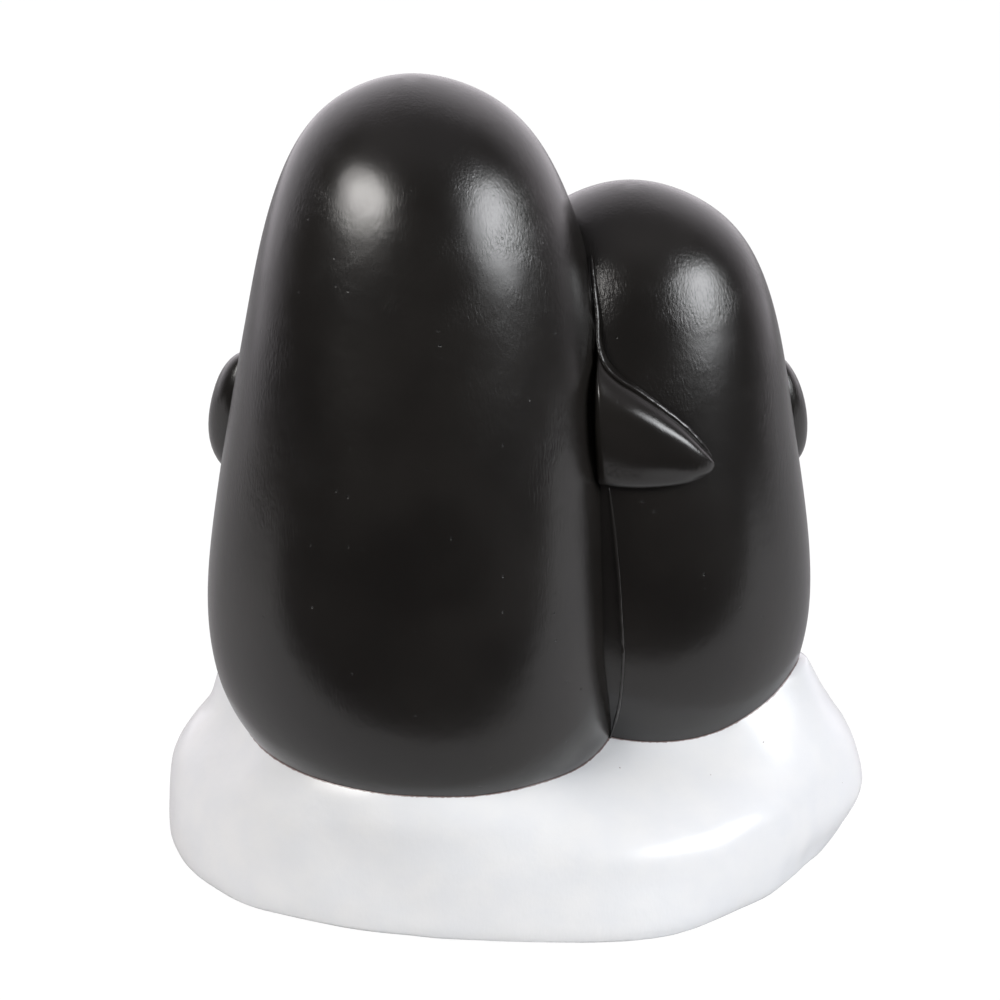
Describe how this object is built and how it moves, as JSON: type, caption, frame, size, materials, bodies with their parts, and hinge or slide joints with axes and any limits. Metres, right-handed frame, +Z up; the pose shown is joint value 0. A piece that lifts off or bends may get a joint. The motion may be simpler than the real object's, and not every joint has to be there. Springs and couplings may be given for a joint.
{
  "type": "penguin figurine",
  "caption": "Cast and painted figurine of a tall penguin with its wing laid over the back of a chick, both bedded in a snow mound that rests on felt.",
  "frame": {"origin": "centre of the mound's footprint, at the floor under the felt", "axes": "+Z up; the birds face -Y and show their backs to +Y; the adult stands on the +X side and the chick on the -X side"},
  "size_m": [0.2026, 0.1404, 0.2328],
  "materials": {
    "black_paint": "hand-brushed satin paint on cast resin; the face and belly are painted white in front",
    "snow_paint": "satin white paint on cast resin",
    "orange_paint": "satin paint on cast resin",
    "eye_gloss": "gloss",
    "felt": "pressed felt",
    "dowel_steel": "plain drawn rod"
  },
  "bodies": {
    "root": {"snow_base": "snow_paint", "felt_sheet": "felt", "adult_body": "black_paint", "chick_body": "black_paint", "adult_dowels": "dowel_steel", "chick_dowels": "dowel_steel", "adult_left_wing": "black_paint", "adult_right_wing": "black_paint", "chick_left_wing": "black_paint", "chick_right_wing": "black_paint", "adult_beak": "orange_paint", "chick_beak": "orange_paint", "adult_left_eye": "eye_gloss", "adult_right_eye": "eye_gloss", "chick_left_eye": "eye_gloss", "chick_right_eye": "eye_gloss", "adult_left_foot": "orange_paint", "adult_right_foot": "orange_paint", "chick_left_foot": "orange_paint", "chick_right_foot": "orange_paint"}
  },
  "joints": []
}
